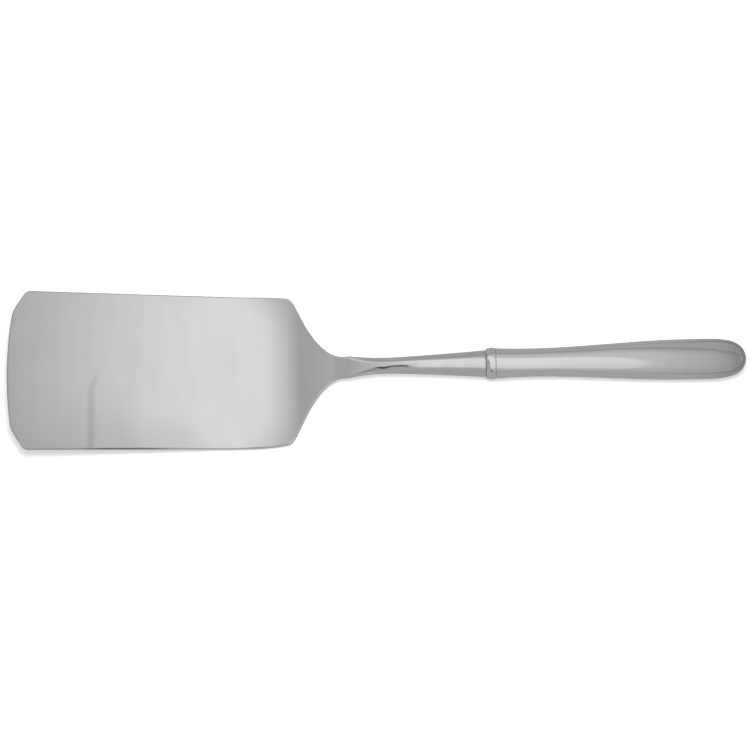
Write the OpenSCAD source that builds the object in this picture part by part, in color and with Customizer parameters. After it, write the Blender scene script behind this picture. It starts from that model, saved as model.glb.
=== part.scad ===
// Lasagna server with a forged blade and a hollow silver handle, in millimetres.
// It lies as on a table: the heel's middle and the broad end of the handle touch z = 0.

/* [Overall] */
// Length from the blade's front edge to the end of the handle
total_len = 260; // [240:1:280]
// Angle between the blade and the handle's axis
blade_tilt = 6.3; // [4:0.1:8]

/* [Blade] */
// Width of the blade at the front
front_w = 59.2; // [52:0.2:66]
// Width of the blade where the heel begins
heel_w = 56.6; // [50:0.2:64]
// Thickness of the blade
blade_t = 1.2; // [1:0.1:1.6]
// Length of the flat from the front edge to the heel
flat_len = 88; // [76:1:100]
// Radius of the bowed front edge
front_r = 145; // [100:1:200]
// Half-width at which the front corners start to be clipped
clip_from = 19.2; // [16:0.2:22]
// Angle of the clipped front corners to the front edge
clip_angle = 32; // [24:0.5:38]
// Width of the polished roll along the blade's sides
edge_roll = 0.5; // [0.3:0.1:1.6]
// Thickness of the dulled front edge
front_edge_t = 0.8; // [0.3:0.1:0.8]

/* [Heel and neck] */
// Radius of the heel's middle, which turns up from the flat into the shoulder
heel_r = 49; // [40:1:58]
// How much sooner the heel starts to turn up at its corners than in its middle
heel_bow = 8.5; // [4:0.5:12]
// Half-width of the heel's straight middle, which the server rests on
heel_straight = 12; // [8:1:16]
// Slope of the shoulder to the handle's axis
shoulder_slope = 12; // [10:0.5:14]
// Radius of the long bend from the shoulder into the neck
neck_bend_r = 98; // [70:1:110]
// Angle of the shoulder's sides to the server's axis, seen from above
shoulder_angle = 64.7; // [58:0.1:70]
// Distance from the end of the flat to the point where the shoulder's sides would meet
shoulder_reach = 24.9; // [22:0.1:30]
// Least width of the neck
neck_w = 5.85; // [5:0.05:7]
// Diameter of the bolster at its end
bolster_d = 9.5; // [8.6:0.1:9.8]

/* [Ferrule] */
// Diameter of the ferrule
ferrule_d = 11.2; // [10.8:0.1:11.4]
// Length of the ferrule between bolster and handle
ferrule_len = 3.4; // [2.6:0.1:5]
// Diameter of the vent hole that lets gas out while the handle is soldered
vent_d = 0.6; // [0.4:0.1:0.8]
// Height angle of the vent hole round the ferrule
vent_angle = 43; // [20:1:70]

/* [Handle] */
// Length of the handle
handle_len = 88.4; // [80:0.1:94]
// Diameter of the handle's round mouth
mouth_d = 10.7; // [10.4:0.1:10.8]
// Width of the waist behind the ferrule
waist_w = 10.1; // [9.6:0.1:10.4]
// Thickness of the waist
waist_t = 9.2; // [9:0.1:9.6]
// Greatest width of the handle
bulb_w = 14.5; // [12.6:0.1:16]
// Greatest thickness of the handle
bulb_t = 11.6; // [11.6:0.1:13]
// Thickness of the stamped silver
wall = 0.45; // [0.35:0.05:0.6]
// Thickness of the solder between the two halves
seam_t = 0.1; // [0.06:0.02:0.2]

/* [Hidden] */
$fn = 64;
half_len = total_len / 2;
axis_z = bulb_t / 2;
mouth_x = half_len - handle_len;
bolster_x = mouth_x - ferrule_len;

// The spine of the blade, in the blade's own frame: x runs back from the front edge along the flat.
turn = shoulder_slope + blade_tilt;
shoulder_rise = axis_z - blade_t / 2 - (heel_r + neck_bend_r) * (1 - cos(shoulder_slope));
shoulder_len = shoulder_rise / sin(shoulder_slope);
sole_x = flat_len + heel_r * sin(blade_tilt);
heel_end = flat_len + heel_r * sin(turn);
heel_end_z = heel_r * (1 - cos(turn));
bend_from = heel_end + shoulder_len * cos(turn);
bend_from_z = heel_end_z + shoulder_len * sin(turn);
bend_end = bend_from + neck_bend_r * (sin(turn) - sin(blade_tilt));
bend_end_z = bend_from_z + neck_bend_r * (cos(blade_tilt) - cos(turn));
neck_drop = bend_end_z * cos(blade_tilt) - bend_end * sin(blade_tilt);
blade_end_x = bend_end + (bolster_x + half_len - bend_end * cos(blade_tilt) - bend_end_z * sin(blade_tilt))
              * cos(blade_tilt);

// Along the shoulder and neck
shoulder_apex = flat_len + shoulder_reach;
neck_from = flat_len + 32;
neck_thin = flat_len + 45;
neck_start_flare = 1.1;
flare_power = 1.4;
round_from = flat_len + 26;
round_to = flat_len + 42;
thick_from = flat_len + 28;
thick_to = flat_len + 59;

// Where the outlines run into one another
front_blend = 1;
corner_blend = 3;
shoulder_blend = 15;
heel_curve_r = 75;
bow_power = 1.6;
front_fade = 20;
front_corner = 1.2;
front_corner_len = 4;
bevel_len = 0.4;

// Facets of the lofts, and the gaps between their rings
side_steps = 6;
top_steps = 14;
handle_steps = 18;
close_gap = 1.5;
wide_gap = 3.2;
handle_gap = 4.6;
cap_step = 10;

// Fits inside the handle, and the forms of ferrule and handle
spigot_d = 8.3;
bore_d = 8.4;
lip_len = 2.5;
spigot_len = ferrule_len + lip_len + 2;
overlap = 1;
tang_len = 44;
tang_w = 6.4;
tang_tip_w = 4.4;
tang_t = 3.2;
notch_d = 2;
notch_at = [0.45, 0.75];
fit_gap = 0.05;
crown_r = 6;
crown_at = 0.65;
waist_at = 12;
bulb_share = 0.765;
bulb_at = bulb_share * handle_len;
end_power = 5;

steel = [0.80, 0.80, 0.79];
silver = [0.86, 0.85, 0.83];
solder = [0.62, 0.61, 0.58];
cement = [0.74, 0.70, 0.62];

// Curves that the lofts share
function ease(t) = let (u = min(max(t, 0), 1)) u * u * (3 - 2 * u);
function smooth_min(a, b, k) = min(a, b) - pow(max(k - abs(a - b), 0), 2) / (4 * k);
function smooth_max(a, b, k) = -smooth_min(-a, -b, k);
function quarter(t) = let (u = min(max(t, 0), 1)) sqrt(1 - (1 - u) * (1 - u));

// Radius of the heel at y: it grows towards the corners, and the heel ends on one straight line
function heel_radius(y) =
    heel_r
    + heel_bow * pow(max((abs(y) - heel_straight) / (heel_w / 2 - heel_straight), 0), bow_power) / sin(turn);

// Slope and height of the sheet's middle at a distance from the front edge, and at y
function sheet_angle(x, y) =
    let (r = heel_radius(y), from = heel_end - r * sin(turn))
    x < from ? 0
    : x < heel_end ? asin((x - from) / r)
    : x < bend_from ? turn
    : x < bend_end ? asin(sin(turn) - (x - bend_from) / neck_bend_r)
    : blade_tilt;
function sheet_z(x, y) =
    let (r = heel_radius(y), a = sheet_angle(x, y))
    x < heel_end ? r * (1 - cos(a))
    : (r - heel_r) * (1 - cos(turn))
      + (x < bend_from ? heel_end_z + (x - heel_end) * tan(turn)
         : x < bend_end ? bend_from_z + neck_bend_r * (cos(a) - cos(turn))
         : bend_end_z + (x - bend_end) * tan(blade_tilt));

// Half-width of the blade seen from above, from side to shoulder to neck and bolster
function side_half(x) =
    front_w / 2 - (front_w - heel_w) / 2 * x / flat_len
    - pow(max(x - flat_len, 0), 2) / (2 * heel_curve_r);
function neck_half(x) =
    neck_w / 2
    + neck_start_flare * pow(min(max((neck_thin - x) / (neck_thin - neck_from), 0), 1), 2)
    + (bolster_d - neck_w) / 2 * pow(max((x - neck_thin) / (blade_end_x - neck_thin), 0), flare_power);
function shoulder_half(x) = (shoulder_apex - x) * tan(shoulder_angle);
function half_w(x) =
    x < neck_from
    ? smooth_min(side_half(x), smooth_max(shoulder_half(x), neck_half(x), shoulder_blend), corner_blend)
      - front_corner * (1 - quarter(x / front_corner_len))
    : smooth_max(shoulder_half(x), neck_half(x), shoulder_blend);

// Half-thickness, from the dulled edge to the flat sheet, which then thickens all along the neck
function half_t(x) =
    front_edge_t / 2 + (blade_t - front_edge_t) / 2 * quarter(x / bevel_len)
    + (neck_half(x) - blade_t / 2) * ease((x - thick_from) / (thick_to - thick_from));

// The front edge's bow and its clipped corners, as a setback that fades out towards the flat
function setback(x, y) =
    smooth_max(y * y / (2 * front_r), (abs(y) - clip_from) * tan(clip_angle), front_blend)
    * pow(max(1 - x / front_fade, 0), 2);

// One cross-section: a flat sheet with rolled sides that turns into a circle as m goes from 0 to 1
function section(w, t, m) =
    let (flat = w - edge_roll,
         step = 360 / (2 * (side_steps + top_steps)),
         first = -step * side_steps / 2)
    [for (k = [0 : 2 * (side_steps + top_steps) - 1])
        let (half = floor(k / (side_steps + top_steps)),
             j = k - half * (side_steps + top_steps),
             s = half == 0 ? 1 : -1,
             roll = -90 + 180 * j / side_steps,
             sheet = j <= side_steps
                     ? [flat + edge_roll * cos(roll), t * sin(roll)]
                     : [flat * cos(180 * (j - side_steps) / top_steps), t],
             turned = [w * cos(first + step * j), t * sin(first + step * j)])
        s * (sheet * (1 - m) + turned * m)];

// The section set across the sheet at x
function blade_ring(x) =
    [for (p = section(half_w(x), half_t(x), ease((x - round_from) / (round_to - round_from))))
        let (a = sheet_angle(x, p[0]))
        [x + setback(x, p[0]) - sin(a) * p[1], p[0], sheet_z(x, p[0]) + cos(a) * p[1]]];

// A closed skin over rings with as many points each, whose point 0 mirrors point `mirrored` across z
module loft(rings, mirrored) {
    n = len(rings[0]);
    last = len(rings) - 1;
    first = mirrored / 2;
    cap = [for (k = [first : first + n / 2 - 1])
        let (a = k % n, b = (k + 1) % n, c = (mirrored - k - 1 + n) % n, d = (mirrored - k + n) % n)
        a == d ? [a, b, c] : b == c ? [a, b, d] : [a, b, c, d]];
    polyhedron(
        points = [for (r = rings) each r],
        faces = concat(
            cap,
            [for (i = [0 : last - 1], k = [0 : n - 1])
                let (k1 = (k + 1) % n)
                [i * n + k, (i + 1) * n + k, (i + 1) * n + k1, i * n + k1]],
            [for (f = cap) [for (j = [len(f) - 1 : -1 : 0]) last * n + f[j]]]),
        convexity = 6);
}

// Stations of the blade's rings, close together where the form turns
function spaced(from, to, gap) =
    let (n = ceil((to - from) / gap))
    [for (i = [0 : n - 1]) from + (to - from) * i / n];
blade_stations = concat(
    [for (part = [0, 0.1, 0.4]) part * bevel_len],
    [bevel_len],
    [for (part = [0.3, 0.6]) part * front_corner_len],
    [for (part = [0.2, 0.4, 0.65, 1]) part * front_fade],
    spaced(flat_len - heel_bow, sole_x, close_gap),
    spaced(sole_x, heel_end, close_gap),
    spaced(heel_end, bend_from, close_gap),
    spaced(bend_from, bend_end, 2 * close_gap),
    spaced(bend_end, blade_end_x, wide_gap),
    [blade_end_x]);

// The handle's half-breadth at x from its mouth, for given sizes at mouth, waist and bulb
function swell(x, mouth, waist, bulb) =
    x < waist_at
    ? waist + (mouth - waist) * pow(1 - x / waist_at, 2)
    : waist + (bulb - waist) * ease((x - waist_at) / (bulb_at - waist_at));

// Stations of the handle from its mouth to near its tip: [x, half-width, half-thickness], less an inset
function handle_stations(inset, from) =
    let (mouth = mouth_d / 2 - inset,
         waist = [waist_w / 2 - inset, waist_t / 2 - inset],
         bulb = [bulb_w / 2 - inset, bulb_t / 2 - inset],
         reach = handle_len - inset - bulb_at)
    concat(
        [for (x = concat(spaced(from, waist_at, wide_gap), spaced(waist_at, bulb_at, handle_gap)))
            [x, swell(x, mouth, waist[0], bulb[0]), swell(x, mouth, waist[1], bulb[1])]],
        [for (a = [0 : cap_step : 90 - cap_step])
            [bulb_at + reach * pow(sin(a), 2 / end_power), bulb[0] * cos(a), bulb[1] * cos(a)]]);

// Half a hoop over the seam, from the +y side to the -y side
function hoop(st) =
    [for (k = [0 : handle_steps])
        let (a = 180 * k / handle_steps)
        [mouth_x + st[0], st[1] * cos(a), seam_t / 2 + (st[2] - seam_t / 2) * sin(a)]];

// Half of the hollow handle: an outer and an inner skin, joined round the mouth and along the seam
module half_shell() {
    outer = handle_stations(0, 0);
    inner = handle_stations(wall, 0);
    n = handle_steps + 1;
    rows = len(outer);
    skin = rows * n + 1;
    tip = rows * n;
    points = concat(
        [for (st = outer) each hoop(st)], [[mouth_x + handle_len, 0, seam_t / 2]],
        [for (st = inner) each hoop(st)], [[mouth_x + handle_len - wall, 0, seam_t / 2]]);
    faces = concat(
        [for (i = [0 : rows - 2], k = [0 : n - 2])
            [(i + 1) * n + k, (i + 1) * n + k + 1, i * n + k + 1, i * n + k]],
        [for (k = [0 : n - 2]) [tip, (rows - 1) * n + k + 1, (rows - 1) * n + k]],
        [for (i = [0 : rows - 2], k = [0 : n - 2])
            [for (v = [i * n + k, i * n + k + 1, (i + 1) * n + k + 1, (i + 1) * n + k]) v + skin]],
        [for (k = [0 : n - 2])
            [for (v = [(rows - 1) * n + k, (rows - 1) * n + k + 1, tip]) v + skin]],
        [for (k = [0 : n - 2]) [k + 1 + skin, k + skin, k, k + 1]],
        [for (i = [0 : rows - 2])
            [i * n + skin, (i + 1) * n + skin, (i + 1) * n, i * n]],
        [[(rows - 1) * n + skin, tip + skin, tip, (rows - 1) * n]],
        [for (i = [0 : rows - 2])
            [(i + 2) * n - 1 + skin, (i + 1) * n - 1 + skin, (i + 1) * n - 1, (i + 2) * n - 1]],
        [[tip + skin, rows * n - 1 + skin, rows * n - 1, tip]]);
    translate([0, 0, axis_z]) polyhedron(points = points, faces = faces, convexity = 6);
}

// Plan of the handle inside an inset, for the seam
module handle_plan(inset) {
    st = handle_stations(inset, 0);
    side = [for (p = st) [mouth_x + p[0], p[1]]];
    polygon(concat(
        side,
        [[mouth_x + handle_len - inset, 0]],
        [for (i = [len(side) - 1 : -1 : 0]) [side[i][0], -side[i][1]]]));
}

// The neck's axis as seen by pieces that are turned round it
module on_axis(x) {
    translate([x, 0, axis_z]) rotate([0, 90, 0]) children();
}

// The tang, with two pairs of notches that key it into the filler
module tang() {
    from = bolster_x + spigot_len - overlap;
    translate([0, 0, axis_z - tang_t / 2]) linear_extrude(tang_t) difference() {
        polygon([
            [from, tang_w / 2], [from + tang_len, tang_tip_w / 2],
            [from + tang_len, -tang_tip_w / 2], [from, -tang_w / 2]]);
        for (along = notch_at, s = [-1, 1])
            translate([from + along * tang_len, s * tang_w / 2]) circle(d = notch_d);
    }
}

// One steel forging: blade, heel, shoulder, neck, bolster, spigot and tang
module blade() {
    color(steel) union() {
        translate([-half_len, 0, axis_z - neck_drop]) rotate([0, blade_tilt, 0])
            loft([for (x = blade_stations) blade_ring(x)], side_steps);
        on_axis(bolster_x - overlap) cylinder(d = spigot_d, h = spigot_len + overlap);
        tang();
    }
}

// A silver ring over the spigot, with a lip that centres the two shells
module ferrule() {
    lip_r = swell(lip_len, mouth_d / 2, waist_t / 2, bulb_t / 2) - wall - fit_gap;
    color(silver) difference() {
        on_axis(bolster_x) rotate_extrude() difference() {
            union() {
                intersection() {
                    square([ferrule_d / 2, ferrule_len]);
                    translate([ferrule_d / 2 - crown_r, crown_at * ferrule_len]) circle(r = crown_r);
                }
                square([lip_r, ferrule_len + lip_len]);
            }
            square([bore_d / 2, 3 * (ferrule_len + lip_len)], center = true);
        }
        translate([bolster_x + ferrule_len / 2, 0, axis_z]) rotate([90 - vent_angle, 0, 0])
            translate([0, 0, bore_d / 2 - fit_gap]) cylinder(d = vent_d, h = ferrule_d);
    }
}

module upper_shell() {
    color(silver) half_shell();
}

module lower_shell() {
    color(silver) translate([0, 0, 2 * axis_z]) mirror([0, 0, 1]) half_shell();
}

// The thin line of solder that joins the two stamped halves
module seam_solder() {
    color(solder) translate([0, 0, axis_z - seam_t / 2]) linear_extrude(seam_t) difference() {
        handle_plan(0);
        handle_plan(wall);
        translate([mouth_x - overlap, -mouth_d / 2 + wall])
            square([2 * overlap, mouth_d - 2 * wall]);
    }
}

// Cement cast round the tang inside the shells
module filler() {
    st = handle_stations(wall + fit_gap, lip_len + 2 * fit_gap);
    color(cement) difference() {
        loft([for (p = st)
            [for (k = [0 : 2 * handle_steps - 1])
                let (a = 180 * k / handle_steps)
                [mouth_x + p[0], p[1] * cos(a), axis_z + p[2] * sin(a)]]], 0);
        on_axis(bolster_x) cylinder(d = bore_d, h = spigot_len + fit_gap);
        tang();
    }
}

blade();
ferrule();
upper_shell();
lower_shell();
seam_solder();
filler();
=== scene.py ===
from math import asin, cos, pi, radians, sin, sqrt, tan

import bmesh
import bpy
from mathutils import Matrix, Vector


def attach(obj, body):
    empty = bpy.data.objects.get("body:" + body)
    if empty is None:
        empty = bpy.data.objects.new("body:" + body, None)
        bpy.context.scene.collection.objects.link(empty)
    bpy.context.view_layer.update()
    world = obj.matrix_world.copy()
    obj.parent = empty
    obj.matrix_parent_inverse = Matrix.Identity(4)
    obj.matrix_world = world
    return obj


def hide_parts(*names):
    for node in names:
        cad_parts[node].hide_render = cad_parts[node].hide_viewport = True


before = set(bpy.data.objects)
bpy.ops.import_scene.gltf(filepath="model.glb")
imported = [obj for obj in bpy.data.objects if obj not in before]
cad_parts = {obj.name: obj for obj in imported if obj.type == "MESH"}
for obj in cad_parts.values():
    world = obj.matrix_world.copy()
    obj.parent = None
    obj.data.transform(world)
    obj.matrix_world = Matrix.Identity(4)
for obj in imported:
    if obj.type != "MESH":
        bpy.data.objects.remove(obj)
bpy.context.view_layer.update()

# The blade, heel, shoulder, neck and bolster are one forging of stainless steel, polished to a mirror.
# Its section is a flat sheet with rolled sides that gathers into a round neck, so one ring is drawn out
# from the front edge to the bolster, station by station, and goes on as the hidden spigot and tang.
mm = 0.001
half_len = 130 * mm
axis_z = 5.8 * mm
bolster_x = 38.2 * mm
blade_tilt = radians(6.3)
# Flat blade, with its bowed front edge, clipped corners and rolled sides
front_w = 59.2 * mm
heel_w = 56.6 * mm
blade_t = 1.2 * mm
flat_len = 88 * mm
front_r = 145 * mm
clip_from = 19.2 * mm
clip_angle = radians(32)
clip_blend = 1 * mm
edge_roll = 0.5 * mm
front_edge_t = 0.8 * mm
front_corner = 1.2 * mm
front_corner_len = 4 * mm
front_fade = 20 * mm
bevel_len = 0.4 * mm
# Heel, shoulder and neck
heel_r = 49 * mm
heel_bow = 8.5 * mm
heel_bow_power = 1.6
heel_straight = 12 * mm
heel_curve_r = 75 * mm
shoulder_slope = radians(12)
shoulder_angle = radians(64.7)
shoulder_apex = flat_len + 24.9 * mm
shoulder_blend = 15 * mm
corner_blend = 3 * mm
neck_bend_r = 98 * mm
neck_w = 5.85 * mm
neck_from = flat_len + 32 * mm
neck_thin = flat_len + 45 * mm
neck_start_flare = 1.1 * mm
neck_flare_power = 1.4
round_from = flat_len + 26 * mm
round_to = flat_len + 42 * mm
thick_from = flat_len + 28 * mm
thick_to = flat_len + 59 * mm
# Bolster, and the spigot and tang that the handle hides
bolster_d = 9.5 * mm
bolster_round = 0.45 * mm
bolster_steps = 5
spigot_d = 8.3 * mm
spigot_len = 7.9 * mm
tang_len = 44 * mm
tang_root_half = (3.2 * mm, 1.6 * mm)
tang_tip_half = (2.2 * mm, 1.6 * mm)
# Steps of the mesh, and the finish
side_steps = 14
top_steps = 34
flat_gap = 8 * mm
heel_gap = 0.5 * mm
neck_gap = 1 * mm
weld = 0.0005 * mm
crease_angle = radians(40)
steel_bright = (0.80, 0.80, 0.795)
steel_filmed = (0.655, 0.655, 0.655)
steel_roughness = 0.05

# Places along the bent sheet, from the front edge, before the blade is tilted
turn = shoulder_slope + blade_tilt
shoulder_rise = axis_z - blade_t / 2 - (heel_r + neck_bend_r) * (1 - cos(shoulder_slope))
shoulder_len = shoulder_rise / sin(shoulder_slope)
heel_end = flat_len + heel_r * sin(turn)
heel_end_z = heel_r * (1 - cos(turn))
bend_from = heel_end + shoulder_len * cos(turn)
bend_from_z = heel_end_z + shoulder_len * sin(turn)
bend_end = bend_from + neck_bend_r * (sin(turn) - sin(blade_tilt))
bend_end_z = bend_from_z + neck_bend_r * (cos(blade_tilt) - cos(turn))
neck_drop = bend_end_z * cos(blade_tilt) - bend_end * sin(blade_tilt)
bend_end_x = bend_end * cos(blade_tilt) + bend_end_z * sin(blade_tilt) - half_len
blade_end = bend_end + (bolster_x - bend_end_x) * cos(blade_tilt)
fine_from = flat_len - heel_bow - 2 * mm


def ease(t):
    u = min(max(t, 0), 1)
    return u * u * (3 - 2 * u)


def quarter(t):
    u = min(max(t, 0), 1)
    return sqrt(1 - (1 - u) ** 2)


def smooth_min(a, b, k):
    return min(a, b) - max(k - abs(a - b), 0) ** 2 / (4 * k)


def smooth_max(a, b, k):
    return -smooth_min(-a, -b, k)


def spaced(start, end, gap):
    count = max(round((end - start) / gap), 1)
    return [start + (end - start) * i / count for i in range(count)]


# The heel bends more gently towards the sides, so its line across the blade is bowed.
def heel_radius(y):
    outer = max(abs(y) - heel_straight, 0) / (heel_w / 2 - heel_straight)
    return heel_r + heel_bow * outer ** heel_bow_power / sin(turn)


# Slope of the sheet at a place on the blade, and below it the height of the sheet's middle.
def sheet_slope(x, y):
    r = heel_radius(y)
    start = heel_end - r * sin(turn)
    if x < start:
        return 0
    if x < heel_end:
        return asin((x - start) / r)
    if x < bend_from:
        return turn
    if x < bend_end:
        return asin(sin(turn) - (x - bend_from) / neck_bend_r)
    return blade_tilt


def sheet_height(x, y):
    r = heel_radius(y)
    if x < heel_end:
        return r * (1 - cos(sheet_slope(x, y)))
    raised = (r - heel_r) * (1 - cos(turn))
    if x < bend_from:
        return raised + heel_end_z + (x - heel_end) * tan(turn)
    if x < bend_end:
        return raised + bend_from_z + neck_bend_r * (cos(sheet_slope(x, y)) - cos(turn))
    return raised + bend_end_z + (x - bend_end) * tan(blade_tilt)


def neck_half(x):
    flare_in = min(max((neck_thin - x) / (neck_thin - neck_from), 0), 1)
    flare_out = max((x - neck_thin) / (blade_end - neck_thin), 0) ** neck_flare_power
    return neck_w / 2 + neck_start_flare * flare_in ** 2 + (bolster_d - neck_w) / 2 * flare_out


def half_width(x):
    shoulder = smooth_max((shoulder_apex - x) * tan(shoulder_angle), neck_half(x), shoulder_blend)
    if x > neck_from:
        return shoulder
    taper = (front_w - heel_w) / 2 * x / flat_len
    side = front_w / 2 - taper - max(x - flat_len, 0) ** 2 / (2 * heel_curve_r)
    rounding = front_corner * (1 - quarter(x / front_corner_len))
    return smooth_min(side, shoulder, corner_blend) - rounding


def half_thickness(x):
    sheet = front_edge_t / 2 + (blade_t - front_edge_t) / 2 * quarter(x / bevel_len)
    return sheet + (neck_half(x) - blade_t / 2) * ease((x - thick_from) / (thick_to - thick_from))


# The front edge is set back towards its ends, by its bow and by the clipped corners.
def front_setback(x, y):
    bow = y * y / (2 * front_r)
    clip = (abs(y) - clip_from) * tan(clip_angle)
    return smooth_max(bow, clip, clip_blend) * max(1 - x / front_fade, 0) ** 2


# Point k round the section, between a flat sheet with rolled sides and an oval.
def section_point(k, w, t, roundness):
    half = side_steps + top_steps
    side = 1 if k < half else -1
    j = k % half
    flat = w - edge_roll
    if j <= side_steps:
        roll = -pi / 2 + pi * j / side_steps
        sheet = Vector((flat + edge_roll * cos(roll), t * sin(roll)))
    else:
        sheet = Vector((flat * cos(pi * (j - side_steps) / top_steps), t))
    angle = pi / half * (j - side_steps / 2)
    return side * sheet.lerp(Vector((w * cos(angle), t * sin(angle))), roundness)


def blade_point(k, x):
    roundness = ease((x - round_from) / (round_to - round_from))
    y, z = section_point(k, half_width(x), half_thickness(x), roundness)
    slope = sheet_slope(x, y)
    return Vector((x + front_setback(x, y) - sin(slope) * z, y, sheet_height(x, y) + cos(slope) * z))


def add_ring(name, points, radius, x):
    bpy.ops.object.select_all(action="DESELECT")
    bpy.ops.mesh.primitive_circle_add(
        vertices=points, radius=radius, location=(x, 0, axis_z), rotation=(0, pi / 2, 0))
    bpy.ops.object.transform_apply(location=True, rotation=True, scale=True)
    piece = bpy.context.active_object
    piece.name = name
    piece.data.name = name
    bpy.ops.object.mode_set(mode="EDIT")
    bpy.ops.mesh.select_mode(type="VERT")
    bpy.ops.mesh.select_all(action="SELECT")
    return piece


def number_ring(piece):
    edit = bmesh.from_edit_mesh(piece.data)
    order = edit.verts.layers.int.new("order")
    for i, v in enumerate(edit.verts):
        v[order] = i
    bmesh.update_edit_mesh(piece.data)


def lay_ring(piece, place):
    edit = bmesh.from_edit_mesh(piece.data)
    order = edit.verts.layers.int["order"]
    for v in edit.verts:
        if v.select:
            v.co = place(v[order])
    bmesh.update_edit_mesh(piece.data)


def select_points(piece, wanted):
    edit = bmesh.from_edit_mesh(piece.data)
    for v in edit.verts:
        v.select = wanted(v.co)
    edit.select_flush_mode()
    bmesh.update_edit_mesh(piece.data)


# Draws the selected ring out along the handle's axis, through places with their half sizes.
def draw_out(sizes):
    for (x, w, t), (last_x, last_w, last_t) in zip(sizes[1:], sizes):
        bpy.ops.mesh.extrude_region_move(TRANSFORM_OT_translate={"value": (x - last_x, 0, 0)})
        bpy.ops.transform.resize(value=(1, w / last_w, t / last_t), center_override=(x, 0, axis_z))


def close_mesh():
    bpy.ops.mesh.select_all(action="SELECT")
    bpy.ops.mesh.remove_doubles(threshold=weld)
    bpy.ops.mesh.normals_make_consistent(inside=False)
    bpy.ops.object.mode_set(mode="OBJECT")


blade = add_ring("blade_forging", 2 * (side_steps + top_steps), bolster_d / 2, 0)
number_ring(blade)
blade_stations = [part * bevel_len for part in (0, 0.01, 0.04, 0.1, 0.2, 0.35, 0.6, 1)]
blade_stations += [part * front_corner_len for part in (0.2, 0.35, 0.5, 0.75)]
blade_stations += [part * front_fade for part in (0.2, 0.3, 0.45, 0.6, 0.8, 1)]
blade_stations += spaced(front_fade + flat_gap, fine_from, flat_gap)
blade_stations += spaced(fine_from, bend_end, heel_gap)
blade_stations += spaced(bend_end, blade_end - bolster_round, neck_gap) + [blade_end - bolster_round]
lay_ring(blade, lambda k: blade_point(k, blade_stations[0]) * Vector((1, 1, 0)))
for station in blade_stations:
    bpy.ops.mesh.extrude_region_move()
    lay_ring(blade, lambda k: blade_point(k, station))
bpy.ops.mesh.select_all(action="SELECT")
bpy.ops.transform.rotate(value=-blade_tilt, orient_axis="Y", center_override=(0, 0, 0))
bpy.ops.transform.translate(value=(-half_len, 0, axis_z - neck_drop))
bolster_r = neck_half(blade_end - bolster_round)
bolster_start = bolster_x - bolster_round / cos(blade_tilt)
spigot_end = bolster_x + spigot_len
tail = [(bolster_start, bolster_r, bolster_r)]
for step in range(1, bolster_steps + 1):
    angle = pi / 2 * step / bolster_steps
    edge_r = bolster_r - bolster_round * (1 - cos(angle))
    tail.append((bolster_x - bolster_round * (1 - sin(angle)), edge_r, edge_r))
tail += [(bolster_x, spigot_d / 2, spigot_d / 2), (spigot_end, spigot_d / 2, spigot_d / 2)]
tail += [(spigot_end, *tang_root_half), (spigot_end + tang_len, *tang_tip_half)]
select_points(blade, lambda co: co.x > bolster_start - 0.1 * mm)
draw_out(tail)
bpy.ops.mesh.edge_face_add()
close_mesh()
bpy.ops.object.shade_smooth_by_angle(angle=crease_angle)


# One value in a material's nodes, so that shader maths reads as plain expressions.
class Shade:
    def __init__(self, tree, socket=None):
        self.tree = tree
        self.socket = socket

    def node(self, kind, settings, sockets, output=0):
        made = self.tree.nodes.new(kind)
        for name, value in settings.items():
            setattr(made, name, value)
        for name, value in sockets.items():
            named = [s for s in made.inputs if s.enabled and s.name == name]
            target = named[0] if named else made.inputs[name]
            if isinstance(value, Shade):
                self.tree.links.new(value.socket, target)
            else:
                target.default_value = value
        return Shade(self.tree, made.outputs[output])

    def feed(self, socket):
        self.tree.links.new(self.socket, socket)

    def axis(self, letter):
        return self.node("ShaderNodeSeparateXYZ", {}, {"Vector": self}, letter)

    def mix(self, factor, first, second):
        ends = {"Factor": factor, "A": first, "B": second}
        return self.node("ShaderNodeMix", {"data_type": "RGBA"}, ends, 2)

    def math(self, operation, first, second):
        return self.node("ShaderNodeMath", {"operation": operation}, {0: first, 1: second})

    def __add__(self, other):
        return self.math("ADD", self, other)

    def __sub__(self, other):
        return self.math("SUBTRACT", self, other)

    def __rsub__(self, other):
        return self.math("SUBTRACT", other, self)

    def __mul__(self, other):
        return self.math("MULTIPLY", self, other)

    def __pow__(self, other):
        return self.math("POWER", self, other)

    __radd__ = __add__
    __rmul__ = __mul__


# Mirror metal under a cloudy film, with wiping marks across it and hairlines along it.
def polished_metal(name, bright, filmed, roughness):
    metal = bpy.data.materials.new(name)
    metal.use_nodes = True
    inputs = metal.node_tree.nodes["Principled BSDF"].inputs
    inputs["Metallic"].default_value = 1
    shade = Shade(metal.node_tree)
    place = shade.node("ShaderNodeTexCoord", {}, {}, "Object")
    cloud = shade.node("ShaderNodeTexNoise", {}, {"Vector": place, "Scale": 45, "Detail": 4}, "Fac")
    wiped = shade.node("ShaderNodeMapping", {}, {"Vector": place, "Scale": (260, 30, 120)})
    wipe = shade.node("ShaderNodeTexNoise", {}, {"Vector": wiped, "Scale": 1, "Detail": 3}, "Fac")
    hairs = shade.node("ShaderNodeMapping", {}, {"Vector": place, "Scale": (300, 9000, 9000)})
    hair = shade.node("ShaderNodeTexNoise", {}, {"Vector": hairs, "Scale": 1, "Detail": 2}, "Fac")
    film = cloud * 0.6 + wipe * 0.4
    shade.mix(film, (*bright, 1), (*filmed, 1)).feed(inputs["Base Color"])
    (roughness * 0.6 + film * roughness * 0.8).feed(inputs["Roughness"])
    bump = shade.node(
        "ShaderNodeBump", {}, {"Strength": 0.04, "Distance": 0.02 * mm, "Height": hair * 0.4 + wipe * 0.6})
    bump.feed(inputs["Normal"])
    return metal


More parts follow.
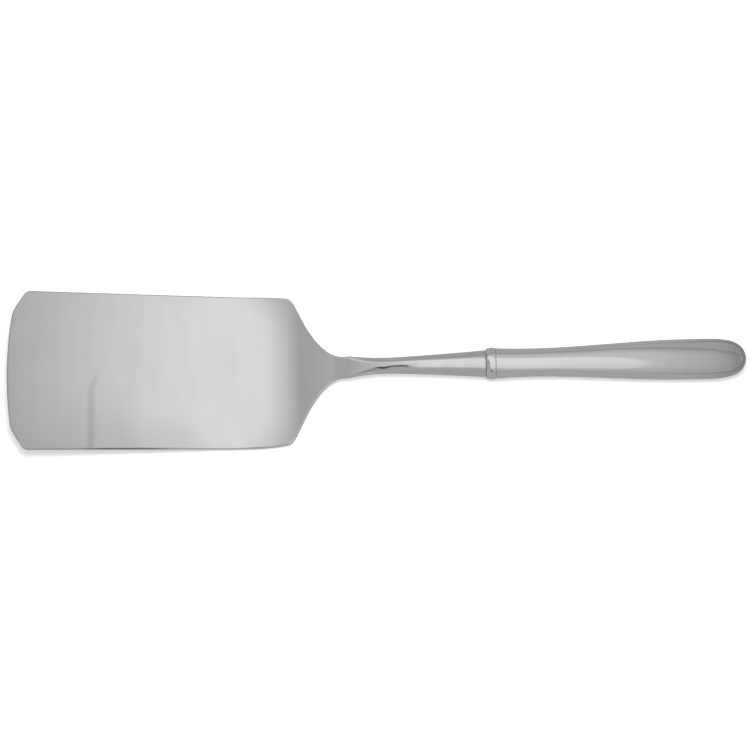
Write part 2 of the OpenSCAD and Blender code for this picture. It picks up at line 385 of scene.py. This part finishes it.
steel = polished_metal("polished_steel", steel_bright, steel_filmed, steel_roughness)
blade.data.materials.append(steel)
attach(blade, "root")
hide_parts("blade")

# The ferrule is a turned ring of silver, crowned like a bead, that covers the joint of bolster and handle.
# It is slid over the spigot, its lip centres the two shells, and a pinhole let the hot gas out.
mouth_x = 41.6 * mm
ferrule_d = 11.2 * mm
ferrule_len = mouth_x - bolster_x
bore_d = 8.4 * mm
lip_d = 9.14 * mm
lip_len = 2.5 * mm
lip_end = mouth_x + lip_len
crown_r = 6 * mm
crown_at = 0.65 * ferrule_len
crown_gap = 0.2 * mm
ferrule_round = 0.3 * mm
vent_d = 0.6 * mm
vent_angle = radians(43)
drill_len = 2.6 * mm
touching = 0.01 * mm
silver_bright = (0.80, 0.795, 0.785)
silver_filmed = (0.75, 0.745, 0.735)
silver_roughness = 0.07
vent_grey = (0.03, 0.03, 0.03)
vent_black = (0.01, 0.01, 0.01)
vent_roughness = 0.5
ferrule_points = 128
ferrule = add_ring("ferrule_ring", ferrule_points, bore_d / 2, bolster_x)
profile = [(bolster_x, bore_d / 2)]
for x in spaced(0, ferrule_len + crown_gap, crown_gap):
    profile.append((bolster_x + x, ferrule_d / 2 - crown_r + sqrt(crown_r ** 2 - (x - crown_at) ** 2)))
profile += [(mouth_x, lip_d / 2), (lip_end, lip_d / 2), (lip_end, bore_d / 2), (bolster_x, bore_d / 2)]
draw_out([(x, r, r) for x, r in profile])
bpy.ops.mesh.select_all(action="SELECT")
bpy.ops.mesh.remove_doubles(threshold=weld)
bpy.ops.mesh.select_mode(type="EDGE")
edit = bmesh.from_edit_mesh(ferrule.data)
for e in edit.edges:
    first, second = (v.co for v in e.verts)
    from_axis = min(Vector((0, co.y, co.z - axis_z)).length for co in (first, second))
    at_end = min(abs(first.x - end) for end in (bolster_x, mouth_x)) < touching
    goes_round = abs(first.x - second.x) < touching
    e.select = at_end and goes_round and from_axis > bolster_d / 2
bmesh.update_edit_mesh(ferrule.data)
bpy.ops.mesh.bevel(offset=ferrule_round, segments=5, affect="EDGES")
bpy.ops.mesh.select_mode(type="VERT")
close_mesh()
silver = polished_metal("polished_silver", silver_bright, silver_filmed, silver_roughness)
ferrule.data.materials.append(silver)
drill_at = (
    bolster_x + ferrule_len / 2,
    -cos(vent_angle) * ferrule_d / 2,
    axis_z + sin(vent_angle) * ferrule_d / 2)
bpy.ops.object.select_all(action="DESELECT")
drill_turned = (pi / 2 - vent_angle, 0, 0)
bpy.ops.mesh.primitive_cylinder_add(
    vertices=24, radius=vent_d / 2, depth=drill_len, location=drill_at, rotation=drill_turned)
drill = bpy.context.active_object
# The pinhole's walls are near black.
drill.data.materials.append(polished_metal("near_black_vent", vent_grey, vent_black, vent_roughness))
bpy.ops.object.select_all(action="DESELECT")
ferrule.select_set(True)
bpy.context.view_layer.objects.active = ferrule
vent = ferrule.modifiers.new("vent", "BOOLEAN")
vent.operation = "DIFFERENCE"
vent.solver = "EXACT"
vent.material_mode = "TRANSFER"
vent.object = drill
bpy.ops.object.modifier_apply(modifier="vent")
bpy.data.objects.remove(drill)
bpy.ops.object.shade_smooth_by_angle(angle=crease_angle)
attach(ferrule, "root")
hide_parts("ferrule")

# The handle is two half shells stamped from thin silver sheet and soldered edge to edge.
# It swells from a round mouth at the ferrule to a broad oval end, and is hollow round the tang.
mouth_d = 10.7 * mm
waist = (10.1 * mm, 9.2 * mm)
bulb = (14.5 * mm, 11.6 * mm)
handle_len = half_len - mouth_x
waist_at = 12 * mm
bulb_at = 0.765 * handle_len
bulb_len = handle_len - bulb_at
bulb_power = 5
wall = 0.45 * mm
seam_t = 0.1 * mm
rim_round = 0.2 * mm
waist_gap = 0.8 * mm
swell_gap = 1 * mm
skin_points = 96


# Half the handle's width or height, at a distance from its mouth.
def handle_size(x, axis):
    if x < waist_at:
        return (waist[axis] + (mouth_d - waist[axis]) * (1 - x / waist_at) ** 2) / 2
    if x < bulb_at:
        swell = ease((x - waist_at) / (bulb_at - waist_at))
        return (waist[axis] + (bulb[axis] - waist[axis]) * swell) / 2
    return bulb[axis] / 2 * sqrt(max(1 - ((x - bulb_at) / bulb_len) ** bulb_power, 0))


handle_stations = spaced(rim_round, waist_at, waist_gap) + spaced(waist_at, bulb_at, swell_gap)
handle_stations += [bulb_at + bulb_len * part for part in (0, 0.1, 0.2, 0.3, 0.4, 0.48)]
handle_stations += [bulb_at + bulb_len * sin(radians(a)) ** (2 / bulb_power) for a in range(12, 90, 4)]
skin = add_ring("handle_skin", skin_points, mouth_d / 2 - rim_round, mouth_x)
skin_sizes = []
for angle in (0, radians(30), radians(60)):
    rim_r = mouth_d / 2 - rim_round * (1 - sin(angle))
    skin_sizes.append((mouth_x + rim_round * (1 - cos(angle)), rim_r, rim_r))
for x in handle_stations:
    skin_sizes.append((mouth_x + x, handle_size(x, 0), handle_size(x, 1)))
draw_out(skin_sizes)
to_tip = half_len - skin_sizes[-1][0]
bpy.ops.mesh.extrude_region_move(TRANSFORM_OT_translate={"value": (to_tip, 0, 0)})
bpy.ops.mesh.merge(type="CENTER")
bpy.ops.mesh.select_all(action="SELECT")
bpy.ops.mesh.normals_make_consistent(inside=False)
bpy.ops.object.mode_set(mode="OBJECT")
for name, up in (("upper_shell", 1), ("lower_shell", -1)):
    bpy.ops.object.select_all(action="DESELECT")
    skin.select_set(True)
    bpy.context.view_layer.objects.active = skin
    bpy.ops.object.duplicate()
    shell = bpy.context.active_object
    shell.name = name + "_stamping"
    shell.data.name = shell.name
    bpy.ops.object.mode_set(mode="EDIT")
    bpy.ops.mesh.select_all(action="SELECT")
    seam_z = axis_z + up * seam_t / 2
    bpy.ops.mesh.bisect(
        plane_co=(0, 0, seam_z), plane_no=(0, 0, up), clear_inner=True, threshold=0.001 * mm)
    close_mesh()
    thickness = shell.modifiers.new("wall", "SOLIDIFY")
    thickness.thickness = wall
    thickness.offset = -1
    bpy.ops.object.modifier_apply(modifier="wall")
    bpy.ops.object.shade_smooth_by_angle(angle=crease_angle)
    shell.data.materials.append(silver)
    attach(shell, "root")
    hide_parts(name)
bpy.data.objects.remove(skin)

# The seam is a line of silver solder that joins the two shells edge to edge, filed and buffed flush.
# It is softer and a little greyer than the shells, and shows only as a fine line along the handle.
solder_bright = (0.72, 0.71, 0.69)
solder_filmed = (0.6, 0.59, 0.57)
solder_roughness = 0.25
solder = polished_metal("buffed_solder", solder_bright, solder_filmed, solder_roughness)
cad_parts["seam_solder"].data.materials[0] = solder

# The filler is a cement of resin and ground chalk, poured hot into the hollow handle round the tang.
# It sets hard, holds tang and shells together, and is hidden inside them.
resin_brown = (0.30, 0.24, 0.17, 1)
chalk_buff = (0.52, 0.45, 0.35, 1)
cement = bpy.data.materials.new("handle_cement")
cement.use_nodes = True
inputs = cement.node_tree.nodes["Principled BSDF"].inputs
inputs["Specular IOR Level"].default_value = 0.3
shade = Shade(cement.node_tree)
place = shade.node("ShaderNodeTexCoord", {}, {}, "Object")
grains = shade.node("ShaderNodeTexVoronoi", {}, {"Vector": place, "Scale": 2200}, "Distance")
lumps = shade.node("ShaderNodeTexNoise", {}, {"Vector": place, "Scale": 350, "Detail": 5}, "Fac")
shade.mix(lumps, resin_brown, chalk_buff).feed(inputs["Base Color"])
(0.7 + lumps * 0.3).feed(inputs["Roughness"])
pits = shade.node("ShaderNodeBump", {}, {"Strength": 0.5, "Distance": 0.1 * mm, "Height": grains + lumps})
pits.feed(inputs["Normal"])
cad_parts["filler"].data.materials[0] = cement

# The table is a matt white sheet. The camera sees it as white, and the metal sees it as pale grey,
# darker beyond the end of the handle. It keeps the soft shadow that gathers under the server.
table_size = 6
table_drop = 0.1 * mm
seen_white = (0.95, 0.95, 0.95, 1)
mirrored_near = (0.64, 0.64, 0.64, 1)
mirrored_beyond = (0.36, 0.36, 0.36, 1)
seen_glow = 0.52
mirrored_glow = 0.02


# A face with no gloss, black until its section gives it a tone or a glow.
def matt_face(name):
    face = bpy.data.materials.new(name)
    face.use_nodes = True
    inputs = face.node_tree.nodes["Principled BSDF"].inputs
    inputs["Base Color"].default_value = (0, 0, 0, 1)
    inputs["Roughness"].default_value = 1
    inputs["Specular IOR Level"].default_value = 0
    inputs["Emission Color"].default_value = (1, 1, 1, 1)
    return face, inputs, Shade(face.node_tree)


# A smooth step between two values.
def fade(value, start, end, first=0, last=1):
    return value.node("ShaderNodeMapRange", {"interpolation_type": "SMOOTHSTEP"}, {
        "Value": value, "From Min": start, "From Max": end, "To Min": first, "To Max": last})


bpy.ops.object.select_all(action="DESELECT")
bpy.ops.mesh.primitive_plane_add(size=table_size, location=(0, 0, -table_drop))
table = bpy.context.active_object
table.name = "table_sheet"
table_white, inputs, shade = matt_face("table_white")
camera_ray = shade.node("ShaderNodeLightPath", {}, {}, "Is Camera Ray")
glossy_ray = shade.node("ShaderNodeLightPath", {}, {}, "Is Glossy Ray")
along = shade.node("ShaderNodeTexCoord", {}, {}, "Object").axis("X")
mirrored_tone = shade.mix(fade(along, 105 * mm, 150 * mm), mirrored_near, mirrored_beyond)
shade.mix(camera_ray, mirrored_tone, seen_white).feed(inputs["Base Color"])
(camera_ray * seen_glow + glossy_ray * mirrored_glow).feed(inputs["Emission Strength"])
table.data.materials.append(table_white)

# One soft box hangs high over the table, a little in front of the server, and gives it its short shadow.
# The metal doesn't mirror the box, because the tent below stands between them.
lamp_height = 700 * mm
lamp_front = radians(6)
bpy.ops.object.light_add(type="AREA", location=(0, -lamp_height * tan(lamp_front), lamp_height))
soft_box = bpy.context.active_object
soft_box.name = "soft_box"
soft_box.rotation_euler = (lamp_front, 0, 0)
soft_box.data.size = 160 * mm
soft_box.data.energy = 2.2
soft_box.visible_glossy = False

# A light tent of white cloth stands over the table, wide over the blade and close over the handle.
# The metal mirrors it: a bright roof that ends in a round point over the handle, grey sides, a dark fold
# beyond the roof, and a dark slit by the roof's front edge over the heel.
tent_end = 600 * mm
tent_hem = 10 * mm
wide_r = 240 * mm
close_x = 60 * mm
close_r = 100 * mm
tent_points = 96


def show_only_in_metal(piece):
    piece.visible_camera = False
    piece.visible_diffuse = False
    piece.visible_shadow = False


# A straight ramp between two values.
def slope(value, start, end, first, last):
    return value.node("ShaderNodeMapRange", {}, {
        "Value": value, "From Min": start, "From Max": end, "To Min": first, "To Max": last})


# A band that is 1 inside and 0 outside, with soft edges.
def spot(value, middle, half, soft):
    before = fade(value, middle - half - soft, middle - half)
    return before * fade(value, middle + half + soft, middle + half)


bpy.ops.object.select_all(action="DESELECT")
bpy.ops.mesh.primitive_circle_add(
    vertices=tent_points, radius=wide_r, location=(-tent_end, 0, 0), rotation=(0, pi / 2, 0))
bpy.ops.object.transform_apply(location=True, rotation=True, scale=True)
tent = bpy.context.active_object
tent.name = "light_tent"
bpy.ops.object.mode_set(mode="EDIT")
bpy.ops.mesh.select_all(action="SELECT")
bpy.ops.mesh.extrude_region_move(TRANSFORM_OT_translate={"value": (tent_end, 0, 0)})
bpy.ops.mesh.extrude_region_move(TRANSFORM_OT_translate={"value": (close_x, 0, 0)})
bpy.ops.transform.resize(value=(1, close_r / wide_r, close_r / wide_r), center_override=(close_x, 0, 0))
bpy.ops.mesh.extrude_region_move(TRANSFORM_OT_translate={"value": (tent_end - close_x, 0, 0)})
bpy.ops.mesh.select_all(action="SELECT")
bpy.ops.mesh.bisect(plane_co=(0, 0, tent_hem), plane_no=(0, 0, 1), clear_inner=True)
bpy.ops.object.mode_set(mode="OBJECT")
bpy.ops.object.shade_smooth()
show_only_in_metal(tent)
tent_cloth, inputs, shade = matt_face("tent_cloth")
place = shade.node("ShaderNodeTexCoord", {}, {}, "Object")
along = place.axis("X")
around = shade.math("ARCTAN2", place.axis("Y"), place.axis("Z")) * (180 / pi)
# The roof is brightest over the neck, and its front hem is a little dimmer over the heel.
roof = fade(along, -165 * mm, -10 * mm, 0.40, 0.93) * slope(along, 40 * mm, 100 * mm, 1, 0.87)
front_hem = fade(around, 15.5, 10.5) * spot(along, -38 * mm, 6 * mm, 24 * mm)
roof = roof * slope(around, -65, -12, 0.8, 1) * (1 - 0.14 * front_hem)
# The sides are greyer than the roof, and greyest low down beyond the two ends of the server.
high = slope(along, -20 * mm, 20 * mm, 0.45, 0.63) * slope(along, 100 * mm, 143 * mm, 1, 0.7)
high = high * slope(along, 143 * mm, 220 * mm, 1, 0.72)
low = slope(along, -140 * mm, -30 * mm, 0.33, 0.5) * slope(along, -30 * mm, 20 * mm, 1, 0.91)
low = low * slope(along, 100 * mm, 200 * mm, 1, 0.725)
fold = slope(along, 85 * mm, 150 * mm, 58, 22)
height = fade(around, -90, -15) * fade(around - fold, 2, -30)
cloth = (low + (high - low) * height) * (1 - 0.2 * spot(around - fold, 2, 2, 7))
# The roof's outline is a band with a round point over the handle.
roof_middle = slope(along, 0, 60 * mm, -4, -23)
past_blade = shade.math("MAXIMUM", along - 64 * mm, 0) * (1 / (36 * mm))
off_middle = (around - roof_middle) * (1 / 43)
point = (past_blade ** 2 + off_middle ** 2) ** 0.5
roof_front = fade(along, -60 * mm, 0, 9, -58)
lit = fade(around - roof_front, -9, 10) * fade(point, 1.08, 0.88)
slit = spot(around - roof_front, -5, 3, 4) * spot(along, -43 * mm, 8 * mm, 4 * mm)
# Only mirrored rays see the glow, so the tent adds no light to the table.
bounces = shade.node("ShaderNodeLightPath", {}, {}, "Diffuse Depth")
mirrored = shade.math("LESS_THAN", bounces, 0.5)
glow = (cloth + (roof - cloth) * lit) * (1 - slit * 0.95) * mirrored
glow.feed(inputs["Emission Color"])
inputs["Emission Strength"].default_value = 1
tent.data.materials.append(tent_cloth)

# Three small cards hang close to the server and show only in the metal.
# A glowing grey one over the neck's root keeps its mirror soft, a faint dark strip over the blade paints
# a dark reflected line across it, and a black strip by its near edge paints a shadow line in the edge's
# roll.
# Turn of the black strip that paints a shadow line into the roll of the blade's near edge.
shadow_strip_turned = (radians(45), blade_tilt, 0)


def add_card(name, middle, size, turned=(0, 0, 0)):
    bpy.ops.object.select_all(action="DESELECT")
    bpy.ops.mesh.primitive_plane_add(size=mm, location=Vector(middle) * mm, rotation=turned)
    card = bpy.context.active_object
    card.name = name
    card.scale = (*size, 1)
    bpy.ops.object.transform_apply(location=True, rotation=True, scale=True)
    show_only_in_metal(card)
    face, inputs, shade = matt_face(name + "_face")
    card.data.materials.append(face)
    return inputs, shade.node("ShaderNodeTexCoord", {}, {}, "Object")


# The grey card glows, brighter towards its handle end: a soft painted light that only the neck's root
# mirrors.
inputs, place = add_card("glowing_grey_card", (-11, 7.5, 30), (36, 30))
along = place.axis("X")
slope(along, -20 * mm, -2 * mm, 0.475, 0.7).feed(inputs["Emission Color"])
inputs["Emission Strength"].default_value = 1
soft_ends = fade(along, -30 * mm, -23 * mm) * fade(along, 6 * mm, -2 * mm)
(soft_ends * spot(place.axis("Y"), 7.5 * mm, 6.5 * mm, 4 * mm)).feed(inputs["Alpha"])
# A faint dark strip over the blade, mirrored as a painted dark line across it.
inputs, place = add_card("reflected_line_strip", (-95, -2.5, 40), (10, 32))
across = place.axis("Y")
bent = place.axis("X") - fade(across, 3 * mm, 11.5 * mm, 0, 2.2 * mm)
line_mask = spot(bent, -96.6 * mm, 0.1 * mm, 1.9 * mm) * fade(across, 11.8 * mm, 5 * mm)
(line_mask * 0.17).feed(inputs["Alpha"])
# A black strip by the blade's near edge, mirrored in the edge's roll as a painted shadow line.
inputs, place = add_card("shadow_line_strip", (-87, -29.67, 6.5), (40, 1.3), shadow_strip_turned)
spot(place.axis("X"), -88 * mm, 6 * mm, 13 * mm).feed(inputs["Alpha"])

# Beyond the tent the room is a plain even grey that fills the shadows a little.
# Where the camera sees it, it is white like the table.
room_fill = 0.25
room_mirrored = 0.2
room_seen = 0.75
room = bpy.data.worlds.new("room")
bpy.context.scene.world = room
room.use_nodes = True
inputs = room.node_tree.nodes["Background"].inputs
shade = Shade(room.node_tree)
camera_ray = shade.node("ShaderNodeLightPath", {}, {}, "Is Camera Ray")
glossy_ray = shade.node("ShaderNodeLightPath", {}, {}, "Is Glossy Ray")
(camera_ray * room_seen + glossy_ray * room_mirrored + room_fill).feed(inputs["Strength"])
inputs["Color"].default_value = (1, 1, 1, 1)

# The camera stands in front of the server, almost square to it, and looks down on it at the photograph's
# angle through a long lens. The picture shows each colour about as it is written.
elevation = radians(71)
azimuth = radians(-1.31)
distance = 991 * mm
target = Vector((-0.95 * mm, -3.09 * mm, 5 * mm))
camera_data = bpy.data.cameras.new("photo_camera")
camera_data.lens = 135
camera_data.sensor_width = 36
camera = bpy.data.objects.new("photo_camera", camera_data)
bpy.context.collection.objects.link(camera)
back = Vector((sin(azimuth) * cos(elevation), -cos(azimuth) * cos(elevation), sin(elevation)))
camera.location = target + distance * back
camera.rotation_euler = (pi / 2 - elevation, 0, azimuth)
bpy.context.scene.camera = camera
bpy.context.scene.view_settings.view_transform = "Standard"
